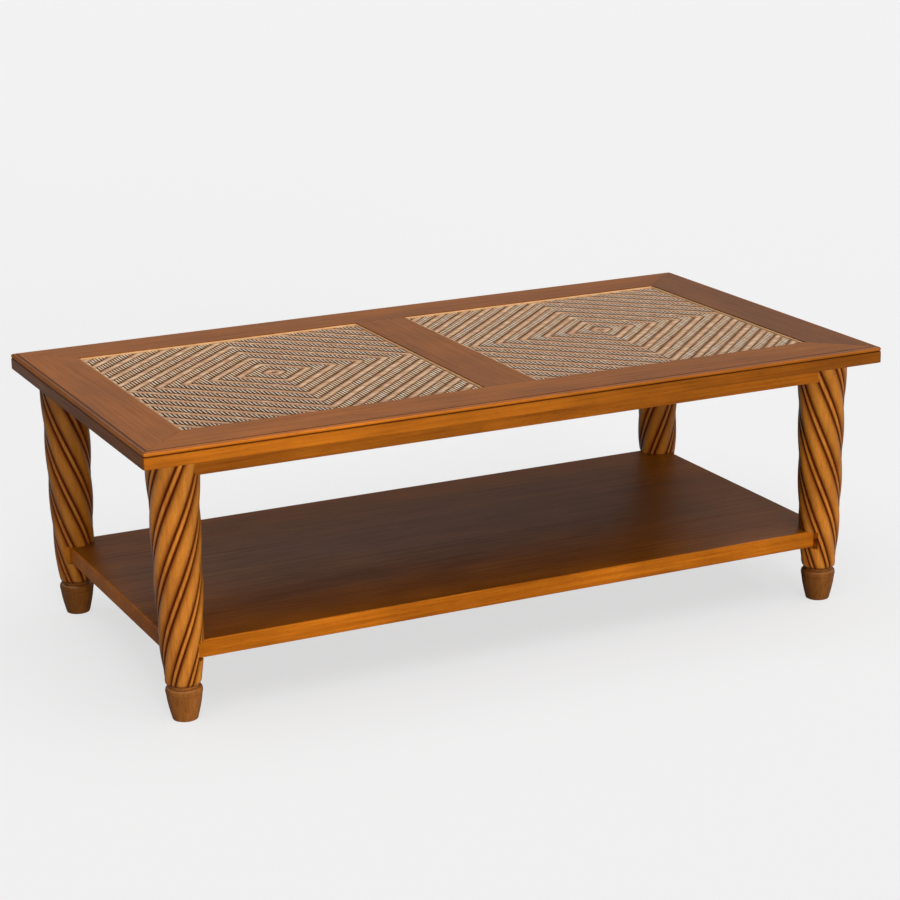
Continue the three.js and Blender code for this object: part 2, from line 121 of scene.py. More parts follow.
def stained_wood(name, axis, light, dark, flecks, glaze_and_shade, roughness=0.42, coat=0.12, shine=0.32):
    """Close-grained tropical hardwood under stain and lacquer, grain along an axis: soft streaks,
    short dark pores, a blotchy stain, painted light and shade where the painted_light attribute
    says, and darker glaze and painted shade where the glaze_and_shade attribute says."""
    material, tree, shader = new_material(name)
    place = add(tree, "TexCoord").outputs["Object"]

    def streaks(size, detail, distortion=0.0):
        stretch = [1 / size[1]] * 3
        stretch[axis] = 1 / size[0]
        spread = add(tree, "Mapping", Vector=place, Scale=stretch).outputs[0]
        grain = add(tree, "TexNoise", Vector=spread, Scale=1.0, Detail=detail, Distortion=distortion)
        return grain.outputs["Fac"]

    plank = streaks(PLANK_FIGURE, 2.0, 0.4)
    lines = streaks(GRAIN_LINE, 4.0, 0.2)
    pores = streaks(PORE, 1.0)
    blotch = streaks(STAIN_BLOTCH, 3.0)
    figure = add(tree, "Math", {"operation": "MULTIPLY_ADD"}, _0=plank, _1=0.55, _2=lines).outputs[0]
    figure = add(tree, "MapRange", _0=figure, From_Min=0.42, From_Max=1.15).outputs[0]
    body = add(tree, "Mix", {"data_type": "RGBA"}, _0=figure, _6=srgb(dark), _7=srgb(light)).outputs[2]
    pore = add(tree, "MapRange", _0=pores, From_Min=0.6, From_Max=0.75, To_Max=0.45).outputs[0]
    body = add(tree, "Mix", {"data_type": "RGBA"}, _0=pore, _6=body, _7=srgb(flecks)).outputs[2]
    blotch_and_painted_light = add(tree, "MapRange", _0=blotch, From_Min=0.35, From_Max=0.7, To_Min=0.67, To_Max=0.91)
    blotch_and_painted_light = blotch_and_painted_light.outputs[0]
    # The painted_light attribute adds painted light and shade to the stain
    painted_light = add(tree, "Attribute", {"attribute_name": "painted_light"}).outputs["Fac"]
    blotch_and_painted_light = add(tree, "Math", {"operation": "MULTIPLY_ADD"}, _0=blotch_and_painted_light, _1=painted_light, _2=blotch_and_painted_light).outputs[0]
    body = add(tree, "VectorMath", {"operation": "SCALE"}, _0=body, Scale=blotch_and_painted_light).outputs[0]
    # The glaze_and_shade attribute darkens the wood with glaze and painted shade
    glaze_and_shade_depth = add(tree, "Attribute", {"attribute_name": "glaze_and_shade"}).outputs["Fac"]
    body = add(tree, "Mix", {"data_type": "RGBA"}, _0=glaze_and_shade_depth, _6=body, _7=srgb(glaze_and_shade)).outputs[2]
    dull, bright = roughness + 0.07, roughness - 0.05
    sheen = add(tree, "MapRange", _0=lines, From_Min=0.3, From_Max=0.7, To_Min=dull, To_Max=bright)
    height = add(tree, "Math", {"operation": "MULTIPLY_ADD"}, _0=pore, _1=-0.6, _2=lines).outputs[0]
    bump = add(tree, "Bump", Strength=0.25, Distance=PORE_DEPTH, Height=height)
    tree.links.new(body, shader.inputs["Base Color"])
    tree.links.new(sheen.outputs[0], shader.inputs["Roughness"])
    tree.links.new(bump.outputs[0], shader.inputs["Normal"])
    gloss = add(tree, "MapRange", _0=glaze_and_shade_depth, To_Min=shine, To_Max=0.1 * shine).outputs[0]
    film = add(tree, "MapRange", _0=glaze_and_shade_depth, To_Min=coat, To_Max=0.1 * coat).outputs[0]
    tree.links.new(gloss, shader.inputs["Specular IOR Level"])
    tree.links.new(film, shader.inputs["Coat Weight"])
    shader.inputs["Specular Tint"].default_value = srgb("#ffcf9c")
    shader.inputs["Coat Roughness"].default_value = 0.16
    return material


# Honey stain under satin lacquer: a warm orange body with a broad soft sheen, and dark
# glaze and painted shade in the quirks
HONEY = {"light": "#bf6d18", "dark": "#8d490b", "flecks": "#5a2a08", "glaze_and_shade": "#2c0f04"}
honey_wood = [stained_wood(f"honey_stained_wood_{letter}", i, **HONEY) for i, letter in enumerate("xy")]


def new_piece(name, bm, material, nodes=(), sharp=35):
    """A finished bmesh as a piece of the table that stands for the CAD nodes."""
    mesh = bpy.data.meshes.new(name)
    bm.to_mesh(mesh)
    bm.free()
    mesh.shade_smooth()
    mesh.set_sharp_from_angle(angle=math.radians(sharp))
    mesh.materials.append(material)
    obj = bpy.data.objects.new(name, mesh)
    bpy.context.collection.objects.link(obj)
    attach(obj, "root")
    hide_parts(*nodes)
    return obj


def soften(obj, width, segments=2, angle=40):
    """Eases a piece's hard edges as sandpaper does."""
    bevel = obj.modifiers.new("eased_edges", "BEVEL")
    bevel.width = width
    bevel.segments = segments
    bevel.limit_method = "ANGLE"
    bevel.angle_limit = math.radians(angle)
    bevel.use_clamp_overlap = True


def prism(bm, outline, length):
    """Extrudes an outline of (inward, height) points along X, centred on X = 0."""
    corners = [bm.verts.new((-length / 2, inward, height)) for inward, height in outline]
    end = bmesh.ops.contextual_create(bm, geom=corners)["faces"]
    pulled = bmesh.ops.extrude_face_region(bm, geom=end)["geom"]
    tip = [item for item in pulled if isinstance(item, bmesh.types.BMVert)]
    bmesh.ops.translate(bm, verts=tip, vec=(length, 0, 0))
    bmesh.ops.reverse_faces(bm, faces=end)
    bmesh.ops.recalc_face_normals(bm, faces=bm.faces)


def rail_outline(thickness, width):
    """The rail's section, from the bottom of its outer face round by the inner face and top."""
    start = math.asin((RAIL_BEAD_RADIUS - RAIL_QUIRK_DEPTH) / RAIL_BEAD_RADIUS)
    sweep = 1.5 * math.pi - 2 * start
    bead = []
    for step in range(RAIL_BEAD_STEPS + 1):
        angle = start + sweep * step / RAIL_BEAD_STEPS
        inward = RAIL_BEAD_RADIUS * (1 + math.cos(angle))
        bead.append((inward, RAIL_BEAD_RADIUS * (math.sin(angle) - 1) - RAIL_BEAD_SINK))
    outline = [(RAIL_ARRIS, -thickness), (width, -thickness), (width, 0)]
    outline += [(RAIL_TOP_LIP + RAIL_QUIRK_SHADE_FADE, 0), (RAIL_TOP_LIP, 0)] + bead
    outline += [(0, -RAIL_EDGE_LIP), (0, -RAIL_EDGE_LIP - RAIL_QUIRK_SHADE_FADE)]
    return outline + [(0, RAIL_ARRIS - thickness)]


def round_corners(bm, half):
    """Sweeps the section round the table's corner instead of carrying it to a sharp mitre."""
    for share in CORNER_STATION_SHARES:
        for end in (-1, 1):
            station = (end * (half - share * RAIL_CORNER_RADIUS), 0, 0)
            every = bm.verts[:] + bm.edges[:] + bm.faces[:]
            bmesh.ops.bisect_plane(bm, geom=every, dist=1e-7, plane_co=station, plane_no=(1, 0, 0))
    for vert in bm.verts:
        reach = RAIL_CORNER_RADIUS - vert.co.y
        past = abs(vert.co.x) - (half - RAIL_CORNER_RADIUS)
        if reach > 0 and past > 0:
            turn = min(past / reach, 1) * math.pi / 4
            side = math.copysign(1, vert.co.x)
            vert.co.x = side * (half - RAIL_CORNER_RADIUS + reach * math.sin(turn))
            vert.co.y = RAIL_CORNER_RADIUS - reach * math.cos(turn)


top_low, top_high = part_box("top_front_rail")
table_length = 2 * abs(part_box("top_left_rail")[0].x)
table_width = 2 * abs(top_low.y)
top_z = top_high.z
rail_thickness = top_high.z - top_low.z
rail_width = top_high.y - top_low.y

for quarter, side in enumerate(("front", "right", "back", "left")):
    length, across = (table_length, table_width) if quarter % 2 == 0 else (table_width, table_length)
    rail = bmesh.new()
    prism(rail, rail_outline(rail_thickness, rail_width), length)
    for vert in rail.verts:
        vert.co.x -= math.copysign(max(vert.co.y, 0) + MITRE_GAP, vert.co.x)
    # The quirks are darkened with glaze and painted shade
    glaze_and_shade = rail.verts.layers.float.new("glaze_and_shade")
    for vert in rail.verts:
        inward, below = vert.co.y, -vert.co.z
        in_moulding = inward < RAIL_TOP_LIP + NEAR and below < RAIL_EDGE_LIP + NEAR
        in_quirk = in_moulding and max(inward, below - RAIL_BEAD_SINK) > RAIL_GLAZE_AND_SHADE_START
        on_edge_lip = inward < NEAR and below > RAIL_EDGE_LIP - NEAR
        vert[glaze_and_shade] = (RAIL_EDGE_GLAZE_AND_SHADE if on_edge_lip else 1.0) if in_quirk else 0.0
    # Painted light and shade on the rail, and a painted highlight along the moulding
    painted_light_layer = rail.verts.layers.float.new("painted_light")
    for vert in rail.verts:
        on_edge = vert.co.y < RAIL_TOP_LIP
        on_moulding = on_edge and -vert.co.z < RAIL_EDGE_LIP + NEAR
        vert[painted_light_layer] = RAIL_PAINTED_LIGHT[side][0 if on_edge else 1][0 if vert.co.x < 0 else 1]
        vert[painted_light_layer] += MOULDING_PAINTED_HIGHLIGHT if on_moulding else 0
    round_corners(rail, length / 2)
    turn = Matrix.Rotation(quarter * math.pi / 2, 4, "Z")
    bmesh.ops.translate(rail, verts=rail.verts, vec=(0, -across / 2, top_z))
    bmesh.ops.transform(rail, matrix=turn, verts=rail.verts)
    wood = honey_wood[quarter % 2]
    obj = new_piece(f"{side}_top_rail", rail, wood, [f"top_{side}_rail"])
    soften(obj, RAIL_EASE)


# Centre rail
# The cross rail between the two panels, of the same wood, tenoned flush into the long rails.
# It has no moulding, only eased arrises along the two openings.
# Painted shade over the whole centre rail
CENTRE_PAINTED_SHADE = -0.25
CENTRE_EASE = 0.0006

centre = bmesh.new()
bmesh.ops.create_cube(centre, size=1)
visible_length = table_width - 2 * rail_width - 2 * MITRE_GAP
bmesh.ops.scale(centre, verts=centre.verts, vec=(rail_width, visible_length, rail_thickness))
bmesh.ops.translate(centre, verts=centre.verts, vec=(0, 0, top_z - rail_thickness / 2))
painted_light_layer = centre.verts.layers.float.new("painted_light")
for vert in centre.verts:
    vert[painted_light_layer] = CENTRE_PAINTED_SHADE
obj = new_piece("centre_top_rail", centre, honey_wood[1], ["top_centre_rail"])
soften(obj, CENTRE_EASE)


# Mitre splines, dowels and corner blocks
# Plain hardwood kept out of sight: splines glued across the mitres, dowels between the legs
# and the shelf, and blocks in the angle of the aprons. The finished rails, legs and shelf
# are modelled without the grooves and bores for them, which lie inside the joints.

# Bare wood as it came off the saw: pale, dry and without any gloss
BARE = {"light": "#c9a877", "dark": "#a27c4c", "flecks": "#6d4c2a", "glaze_and_shade": "#6d4c2a"}
bare_wood = stained_wood("bare_sawn_wood", 0, roughness=0.7, coat=0.0, **BARE)


def finish_cad(name, material):
    """Gives a CAD node that stays its own finish."""
    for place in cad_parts[name].material_slots:
        place.material = material


corners = [f"{y}_{x}" for y in ("front", "back") for x in ("left", "right")]
for corner in corners:
    for hidden in ("mitre_spline", "shelf_dowel", "corner_block"):
        finish_cad(f"{corner}_{hidden}", bare_wood)


# Backing boards
# Thin boards held in the grooves of the rails, on which the mats lie. Their dark colour is
# painted shade, which shows in the gaps of the weave.

# Dark colour with no lacquer, as painted shade, so that the gaps in the cane read black
SHADE_DARK = {"light": "#4a3222", "dark": "#2c1c12", "flecks": "#140c08", "glaze_and_shade": "#140c08"}
shade_board = stained_wood("shade_darkened_board", 0, roughness=0.75, coat=0.0, **SHADE_DARK)
for side in ("left", "right"):
    finish_cad(f"{side}_backing_board", shade_board)


# Woven mats
# Each mat is split cane, a strand every 5.4 mm both ways. The crosswise strands go over
# three and under five of the others, one step further in each row, and turn about the
# middle of the mat, so the ridges meet there as nested diamonds.
STRAND_PITCH = 0.0054
STRAND_WIDTHS = (0.0047, 0.0041)
STRAND_THICKNESS = 0.0021
STRAND_SIDES = 6
STRAND_LIFT = 0.0012
STRAND_LEVEL_SHARE = 0.22
STRAND_WANDER = 0.0002
STRAND_SWAY = 0.0011
SWAY_EASE_STRANDS = 8
CROSSWISE_UP = (0, 1, 1, 1, 0, 0, 0, 0)
DIAMOND_CENTRES = {"left": (-0.274, 0.014), "right": (0.287, 0.013)}

# Painted shade at the ends of floats and on the low sides, and tones, of the crosswise strands
# and then the lengthwise ones. Of two pairs, the first is for the front left and back right
# quarters of a mat, and the second for the other two: these differ by painted light and shade.
FLOAT_END_SHADE = (0.4, 0.62)
FLOAT_END_STRANDS = (0.6, 1.9)
SIDE_SHADES = ((-0.2, 1.05), (-0.2, 0.85))
QUARTER_PAINTED_LIGHT = ((-0.35, 0.4), (0.0, -0.3))
STRAND_TONE_RANGE = 0.6
FLOAT_TONE_RANGE = 0.9

# Steps through the noise from one strand to the next, and from one crossing to the next
SWAY_NOISE_STEPS = (0.22, 0.13)
TONE_NOISE_STEPS = (7.3, 0.35)

# Sizes in the cane. Its fibres are drawn coarser than real ones, so that they show.
FIBRE_WIDTH = 0.0007
FIBRE_LENGTH = 0.02
FIBRE_DEPTH = 0.0002
CANE_PATCHES_PER_METRE = 38.0


def split_cane(name, axis, dark, light):
    """Varnished split cane with fibres along an axis: each strand has its own tone, with painted
    light and shade by quarter of the mat, and brown glaze and painted shade darken the hollows,
    the low sides and the ends of floats, where no varnish shines."""
    material, tree, shader = new_material(name)
    place = add(tree, "TexCoord").outputs["Object"]
    stretch = [1 / FIBRE_WIDTH] * 3
    stretch[axis] = 1 / FIBRE_LENGTH
    spread = add(tree, "Mapping", Vector=place, Scale=stretch).outputs[0]
    fibre = add(tree, "TexNoise", Vector=spread, Scale=1.0, Detail=2.0).outputs["Fac"]
    stain = add(tree, "TexNoise", Vector=place, Scale=CANE_PATCHES_PER_METRE, Detail=3.0)
    stain = stain.outputs["Fac"]
    tone_and_painted_light = add(tree, "Attribute", {"attribute_name": "tone_and_painted_light"}).outputs["Fac"]
    mixed = add(tree, "Math", {"operation": "MULTIPLY_ADD"}, _0=fibre, _1=0.5, _2=tone_and_painted_light).outputs[0]
    mixed = add(tree, "Math", {"operation": "MULTIPLY_ADD"}, _0=stain, _1=0.6, _2=mixed).outputs[0]
    share = add(tree, "MapRange", _0=mixed, From_Min=0.45, From_Max=1.45).outputs[0]
    body = add(tree, "Mix", {"data_type": "RGBA"}, _0=share, _6=srgb(dark), _7=srgb(light)).outputs[2]
    # Glaze and painted shade: browner first, then nearly black, and without the varnish's shine
    low = add(tree, "Attribute", {"attribute_name": "glaze_and_shade_depth"}).outputs["Fac"]
    warm = add(tree, "MapRange", _0=low, From_Min=0.05, From_Max=0.45).outputs[0]
    body = add(tree, "Mix", {"data_type": "RGBA"}, _0=warm, _6=body, _7=srgb("#9c622c")).outputs[2]
    low = add(tree, "MapRange", _0=low, From_Min=0.3, From_Max=0.85).outputs[0]
    body = add(tree, "Mix", {"data_type": "RGBA"}, _0=low, _6=body, _7=srgb("#2a0f03")).outputs[2]
    varnish = add(tree, "MapRange", _0=low, To_Min=0.35, To_Max=0.0).outputs[0]
    tree.links.new(varnish, shader.inputs["Specular IOR Level"])
    bump = add(tree, "Bump", Strength=0.3, Distance=FIBRE_DEPTH, Height=fibre)
    tree.links.new(body, shader.inputs["Base Color"])
    tree.links.new(bump.outputs[0], shader.inputs["Normal"])
    shader.inputs["Roughness"].default_value = 0.4
    return material


# Tan crosswise strands that were stained more, and pale straw-coloured lengthwise ones
cane_along = [
    split_cane("crosswise_split_cane", 0, "#bf9069", "#ebcca6"),
    split_cane("lengthwise_split_cane", 1, "#f2d0a8", "#fffbea"),
]


def pull_ring(bm, segments, steps, turn=0.0):
    """A ring of radius 1 pulled up Z in steps of length 1, as an open tube."""
    ring = bmesh.ops.create_circle(bm, segments=segments, radius=1)["verts"]
    bmesh.ops.rotate(bm, verts=ring, matrix=Matrix.Rotation(turn, 3, "Z"))
    edges = list({edge for vert in ring for edge in vert.link_edges})
    bmesh.ops.spin(
        bm, geom=ring + edges, angle=0, steps=steps, dvec=(0, 0, 1), axis=(0, 0, 1), cent=(0, 0, 0),
    )


def woven_strands(side, axis):
    """All the strands of one mat that run along an axis, 0 for X and 1 for Y."""
    low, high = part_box(f"{side}_woven_panel")
    size = high - low
    counts = [round(size.x / STRAND_PITCH), round(size.y / STRAND_PITCH)]
    pitches = [size.x / counts[0], size.y / counts[1]]
    middle = [int((DIAMOND_CENTRES[side][k] - low[k]) / pitches[k]) for k in (0, 1)]
    across = 1 - axis
    level = high.z - STRAND_LIFT - STRAND_THICKNESS / 2
    chance = random.Random(3 + axis + 10 * len(side))

    def height(strand, crossing):
        at = [0, 0]
        at[across] = strand
        at[axis] = crossing
        rows = at[1] - middle[1] if at[1] >= middle[1] else middle[1] - 1 - at[1]
        ring = abs(at[0] - middle[0]) + rows
        up = CROSSWISE_UP[ring % len(CROSSWISE_UP)] == 1 - axis
        return STRAND_LIFT if up else -STRAND_LIFT

    def hollow(strand, crossing, offset):
        """The glaze and painted shade of a strand under a crossing or near the end of its float, from 0
        to 1.
        """
        lift = height(strand, crossing)
        if lift < 0:
            return 1.0
        near = [step for step in (-2, -1, 1, 2) if height(strand, crossing + step) != lift]
        end = min((abs(step - offset) for step in near), default=9)
        full, none = FLOAT_END_STRANDS
        return FLOAT_END_SHADE[axis] * max(0, min(1, (none - end) / (none - full)))

    steps = 2 * counts[axis] - 1
    one = bmesh.new()
    pull_ring(one, STRAND_SIDES, steps, math.pi / STRAND_SIDES)
    bmesh.ops.holes_fill(one, edges=one.edges)
    strand_mesh = bpy.data.meshes.new("strand")
    one.to_mesh(strand_mesh)
    one.free()
    mesh = bmesh.new()
    for strand in range(counts[across]):
        mesh.from_mesh(strand_mesh)
    tone_and_painted_light = mesh.verts.layers.float.new("tone_and_painted_light")
    glaze_and_shade_depth = mesh.verts.layers.float.new("glaze_and_shade_depth")
    mesh.verts.index_update()
    shades = [chance.uniform(0.0, STRAND_TONE_RANGE) for strand in range(counts[across])]
    wanders = [chance.uniform(-1, 1) * STRAND_WANDER for strand in range(counts[across])]
    for vert in mesh.verts:
        strand = vert.index // len(strand_mesh.vertices)
        side_share, rise_share, step = vert.co
        crossing, leaving = divmod(round(step), 2)
        lift = height(strand, crossing)
        offset = STRAND_LEVEL_SHARE if leaving else -STRAND_LEVEL_SHARE
        along = crossing + 0.5 + offset
        if round(step) in (0, steps):
            along = crossing + leaving
        point = [0, 0, level + lift + rise_share * STRAND_THICKNESS / 2]
        point[axis] = low[axis] + along * pitches[axis]
        point[across] = low[across] + (strand + 0.5) * pitches[across] + wanders[strand]
        point[across] += side_share * STRAND_WIDTHS[axis] / 2
        from_edge = min(strand, counts[across] - 1 - strand, along, counts[axis] - along)
        step_over, step_on = SWAY_NOISE_STEPS
        sway = noise.noise(Vector((step_over * strand, step_on * along, 5.0 * axis)))
        point[across] += sway * STRAND_SWAY * min(1, from_edge / SWAY_EASE_STRANDS)
        vert.co = point
        step_over, step_on = TONE_NOISE_STEPS
        drift = noise.noise(Vector((step_over * strand, step_on * along, 9.0)))
        # Painted light and shade that differ by quarter of the mat, on the strands' tones and their low
        # sides
        quarter = (point[0] - DIAMOND_CENTRES[side][0]) * (point[1] - DIAMOND_CENTRES[side][1]) > 0
        pair = 0 if quarter else 1
        vert[tone_and_painted_light] = shades[strand] + FLOAT_TONE_RANGE * drift + QUARTER_PAINTED_LIGHT[pair][axis]
        low_side_shade = SIDE_SHADES[pair][axis] - rise_share
        vert[glaze_and_shade_depth] = min(1, max(hollow(strand, crossing, offset), low_side_shade, 0))
    bmesh.ops.recalc_face_normals(mesh, faces=mesh.faces)
    bpy.data.meshes.remove(strand_mesh)
    return mesh


for side in ("left", "right"):
    for axis, direction in enumerate(("weft", "warp")):
        strands = woven_strands(side, axis)
        name = f"{side}_mat_{direction}"
        new_piece(name, strands, cane_along[axis], [f"{side}_woven_panel"], sharp=60)


# Cane strips
# A thin round strip of pale cane pinned along each edge of the opening, which hides the
# cut ends of the weave.
KNOTS_PER_METRE = 60.0
KNOT_HEIGHT = 0.0004

# Scraped and varnished cane: pale, with tan patches round its knots and a low gloss
material, tree, shader = new_material("scraped_pale_cane")
place = add(tree, "TexCoord").outputs["Object"]
knots = add(tree, "TexNoise", Vector=place, Scale=KNOTS_PER_METRE, Detail=3.0).outputs["Fac"]
body = add(tree, "Mix", {"data_type": "RGBA"}, _0=knots, _6=srgb("#a97440"), _7=srgb("#e0b078"))
bump = add(tree, "Bump", Strength=0.2, Distance=KNOT_HEIGHT, Height=knots)
tree.links.new(body.outputs[2], shader.inputs["Base Color"])
tree.links.new(bump.outputs[0], shader.inputs["Normal"])
shader.inputs["Roughness"].default_value = 0.4
pale_cane = material
for side in ("left", "right"):
    for edge in ("front", "back", "left", "right"):
        finish_cad(f"{side}_panel_{edge}_strip", pale_cane)


# Legs
# Each leg is turned to a taper, then six broad ribs are carved up it in a spiral with a
# thin bead standing in the hollow between each pair. A dark glaze was wiped over and left
# in the hollows before the gloss lacquer, and the same dark paints shade on the ribs' sides
# and round the neck at the foot. The two legs of a side turn opposite ways.
RIB_COUNT = 6
SPIRAL_LEAD = 0.501
RIB_GROOVE_DEPTH = 0.0042
RIB_BEAD_DROP = 0.0018
GROOVE_SHARE = 0.135
CURL_HEIGHT = 0.007
LEG_NECK_RADIUS = 0.022
LEG_TOP_RADIUS = 0.0393
LEG_PROFILE_SHARES = (
    (0, 0.7), (0.05, 0.738), (0.13, 0.788), (0.25, 0.848), (0.42, 0.886),
    (0.6, 0.912), (0.76, 0.937), (0.9, 0.971), (1, 1),
)
LEG_RING_POINTS = 36 * RIB_COUNT
LEG_RING_SPACING = 0.0025
# Height of the painted shade round the neck at the leg's lower end
LEG_END_SHADE_HEIGHT = 0.004
GLAZE_AND_SHADE_STRENGTH = 0.95
FOOT_HEIGHT = 0.050
FIT_GAP = 0.0003
NOTCH_END_OFFSET = 0.017
NOTCH_SIDE_OFFSET = 0.020
NOTCH_CUT_REACH = 0.06
# Painted light and shade on each leg: lighter at the front left, darker at the back
LEG_PAINTED_LIGHT = {"front_left": 0.13, "front_right": 0.0, "back_left": -0.25, "back_right": -0.3}

# Powers that round a rib and a bead over in section
RIB_ROUNDING = (1.8, 0.55)
BEAD_ROUNDING = (2.4, 0.6)

# Where the glaze and painted shade begin and end on the bead and on the rib, as shares of a rib's pitch
GLAZE_AND_SHADE_ON_BEAD_SHARES = (0.04, 0.10)
GLAZE_AND_SHADE_ON_RIB_SHARES = (0.16, 0.44)

# Which way each leg's ribs turn, and where they start, in degrees
SPIRALS = {
    "front_left": (1, 28.5),
    "front_right": (-1, 41.3),
    "back_left": (-1, 53.3),
    "back_right": (1, 52),
}

# Honey stain, dark glaze wiped off the ribs and left in the grooves, then gloss lacquer: the
# crowns glow orange, the grooves read as dark red-brown lines, and the ribs catch the light.
# The glaze colour also paints shade down the ribs' sides and at the neck.
carved_wood = stained_wood(
    "glazed_shade_painted_carved_wood", 2, light="#e09232", dark="#b5641c", flecks="#5a2a0c", glaze_and_shade="#470b02",
    roughness=0.27, coat=0.6,
)


def leg_radius(share):
    """The turned radius at a share of the leg's height, straight between the given shares."""
    for (s0, r0), (s1, r1) in zip(LEG_PROFILE_SHARES, LEG_PROFILE_SHARES[1:]):
        if share <= s1:
            return LEG_TOP_RADIUS * (r0 + (r1 - r0) * (share - s0) / (s1 - s0))
    return LEG_TOP_RADIUS


def rib_share(around):
    """Where a point lies in the carving: 0 on the thin bead, 0.5 on the crown of a broad rib."""
    share = (around * RIB_COUNT) % 1
    return min(share, 1 - share)


def rib_drop(share):
    """How far the carving lies under the ribs' crowns."""
    if share < GROOVE_SHARE:
        bead = (1 - (share / GROOVE_SHARE) ** BEAD_ROUNDING[0]) ** BEAD_ROUNDING[1]
        return RIB_GROOVE_DEPTH - (RIB_GROOVE_DEPTH - RIB_BEAD_DROP) * bead
    across = (0.5 - share) / (0.5 - GROOVE_SHARE)
    return RIB_GROOVE_DEPTH * (1 - (1 - across ** RIB_ROUNDING[0]) ** RIB_ROUNDING[1])


def glaze_and_painted_shade(share):
    """Glaze and painted shade: all of it in the grooves, none on the bead, and painted shade fading up
    the rib's sides.
    """
    if share < GROOVE_SHARE:
        none, full = GLAZE_AND_SHADE_ON_BEAD_SHARES
        return max(0, min(1, (share - none) / (full - none)))
    full, none = GLAZE_AND_SHADE_ON_RIB_SHARES
    return max(0, min(1, (none - share) / (none - full))) ** 2


def box_cutter(low, high):
    """A box between two corners, as a loose object for cutting."""
    block = bmesh.new()
    bmesh.ops.create_cube(block, size=1)
    low, high = Vector(map(min, low, high)), Vector(map(max, low, high))
    bmesh.ops.scale(block, verts=block.verts, vec=high - low)
    bmesh.ops.translate(block, verts=block.verts, vec=(low + high) / 2)
    mesh = bpy.data.meshes.new("cutter")
    block.to_mesh(mesh)
    block.free()
    return bpy.data.objects.new("cutter", mesh)


def carved_leg(corner):
    """One leg's mesh before the shelf is let into it, with its axis and its lower end."""
    foot_low, foot_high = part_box(f"{corner}_foot")
    axis = (foot_low + foot_high) / 2
    bottom = foot_high.z
    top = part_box(f"{corner}_leg")[1].z
    turn, phase = SPIRALS[corner]
    steps = round((top - bottom) / LEG_RING_SPACING)
    leg = bmesh.new()
    pull_ring(leg, LEG_RING_POINTS, steps)
    for vert in leg.verts:
        share = vert.co.z / steps
        height = share * (top - bottom)
        around = math.atan2(vert.co.y, vert.co.x) / (2 * math.pi)
        curl = math.sqrt(1 - max(0, 1 - height / CURL_HEIGHT) ** 2)
        radius = LEG_NECK_RADIUS + (leg_radius(share) - LEG_NECK_RADIUS) * curl
        radius -= rib_drop(rib_share(around)) * curl
        around += turn * (height + bottom - FOOT_HEIGHT) / SPIRAL_LEAD
        angle = 2 * math.pi * around + math.radians(phase)
        across = (axis.x + radius * math.cos(angle), axis.y + radius * math.sin(angle))
        vert.co = (*across, bottom + height)
    bmesh.ops.holes_fill(leg, edges=leg.edges)
    bmesh.ops.recalc_face_normals(leg, faces=leg.faces)
    return leg, axis, bottom


shelf_low, shelf_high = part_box("shelf")
for corner, (turn, phase) in SPIRALS.items():
    leg, axis, bottom = carved_leg(corner)
    obj = new_piece(f"{corner}_carved_leg", leg, carved_wood, [f"{corner}_leg"], sharp=50)
    out_x, out_y = math.copysign(1, axis.x), math.copysign(1, axis.y)
    wall_x, wall_y = axis.x - out_x * NOTCH_END_OFFSET, axis.y - out_y * NOTCH_SIDE_OFFSET
    ledge, ceiling = shelf_low.z - FIT_GAP, shelf_high.z + FIT_GAP
    wide = NOTCH_CUT_REACH
    cutters = [
        box_cutter((wall_x, axis.y - wide, ledge), (wall_x - out_x * wide, axis.y + wide, ceiling)),
        box_cutter((axis.x - wide, wall_y, ledge), (axis.x + wide, wall_y - out_y * wide, ceiling)),
    ]
    for cutter in cutters:
        bpy.context.collection.objects.link(cutter)
        cut = obj.modifiers.new("notch", "BOOLEAN")
        cut.object = cutter
        cut.solver = "EXACT"
    graph = bpy.context.evaluated_depsgraph_get()
    carved = bpy.data.meshes.new_from_object(obj.evaluated_get(graph))
    obj.modifiers.clear()
    obj.data = carved
    for cutter in cutters:
        bpy.data.objects.remove(cutter)
    glaze_and_shade = carved.attributes.new("glaze_and_shade", "FLOAT", "POINT")
    painted_light = carved.attributes.new("painted_light", "FLOAT", "POINT")
    for index, vert in enumerate(carved.vertices):
        around = math.atan2(vert.co.y - axis.y, vert.co.x - axis.x) / (2 * math.pi)
        around -= turn * (vert.co.z - FOOT_HEIGHT) / SPIRAL_LEAD + phase / 360
        # Painted shade round the neck at the lower end
        low_end = max(0, 1 - (vert.co.z - bottom) / LEG_END_SHADE_HEIGHT)
        glaze_and_shade.data[index].value = GLAZE_AND_SHADE_STRENGTH * max(glaze_and_painted_shade(rib_share(around)), low_end)
        painted_light.data[index].value = LEG_PAINTED_LIGHT[corner]


# Feet
# A small turned cup under each leg, wider at its rounded collar, with a line scribed below
# the collar. The feet were finished apart and have a duller, browner coat.
# Painted light and shade on each foot: lighter at the front left, darker towards the back right
FOOT_PAINTED_LIGHT = {"front_left": 0.16, "front_right": -0.2, "back_left": -0.3, "back_right": -0.5}
FOOT_TOP_GAP = 0.0002
FOOT_SIDES = 64

# Radius and height up the foot: eased base, cup, scribed line, collar and neck
FOOT_PROFILE = (
    (0, 0), (0.0170, 0), (0.0181, 0.0005), (0.0186, 0.0016),
    (0.0208, 0.010), (0.0229, 0.019), (0.0247, 0.028), (0.0258, 0.036), (0.0261, 0.0385),
    (0.0254, 0.0392), (0.0264, 0.0399), (0.0269, 0.0425), (0.0269, 0.0450), (0.0264, 0.0472),
    (0.0252, 0.0489), (0.0236, 0.0498), (0.0220, 0.0501),
)

